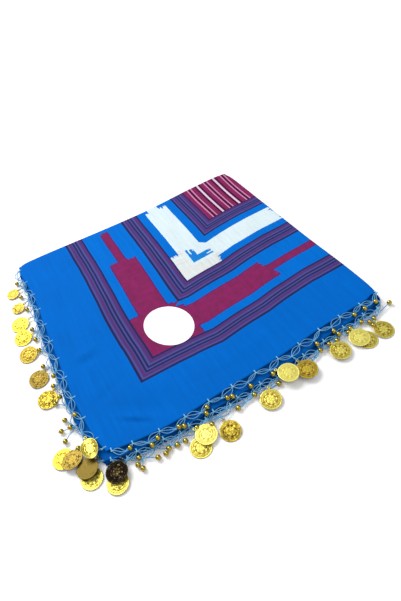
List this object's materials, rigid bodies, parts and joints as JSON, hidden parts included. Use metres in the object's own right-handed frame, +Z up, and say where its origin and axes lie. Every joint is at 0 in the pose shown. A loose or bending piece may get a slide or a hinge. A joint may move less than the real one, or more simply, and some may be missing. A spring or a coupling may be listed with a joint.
{
  "type": "square headscarf with coin-hung crochet edging",
  "caption": "Square cotton headscarf folded in four and lying flat, its two open edges trimmed with crocheted thread petals, round beads and hanging coins.",
  "frame": {"origin": "middle of the flat underside of the folded scarf, at the centre of its nominal square", "axes": "+Z up out of the folded square; the folds run along the +X and +Y sides, with the middle of the opened scarf at their corner; the trimmed hems face -X and -Y"},
  "size_m": [0.4208, 0.4159, 0.0129],
  "materials": {
    "cloth": "matte printed cotton",
    "cloth_shade": "matte printed cotton",
    "thread": "twisted thread",
    "coin": "stamped thin sheet"
  },
  "bodies": {
    "root": {"leaf_top": "cloth", "leaves_lower": "cloth_shade", "lace_front_upper": "thread", "lace_front_lower": "thread", "lace_left_upper": "thread", "lace_left_lower": "thread", "coin_01": "coin", "coin_02": "coin", "coin_03": "coin", "coin_04": "coin", "coin_05": "coin", "coin_06": "coin", "coin_07": "coin", "coin_08": "coin", "coin_09": "coin", "coin_10": "coin", "coin_11": "coin", "coin_12": "coin", "coin_13": "coin", "coin_14": "coin", "coin_15": "coin", "coin_16": "coin", "coin_17": "coin", "coin_18": "coin", "coin_19": "coin", "coin_20": "coin", "coin_21": "coin", "coin_22": "coin", "coin_23": "coin", "coin_24": "coin"}
  },
  "joints": []
}
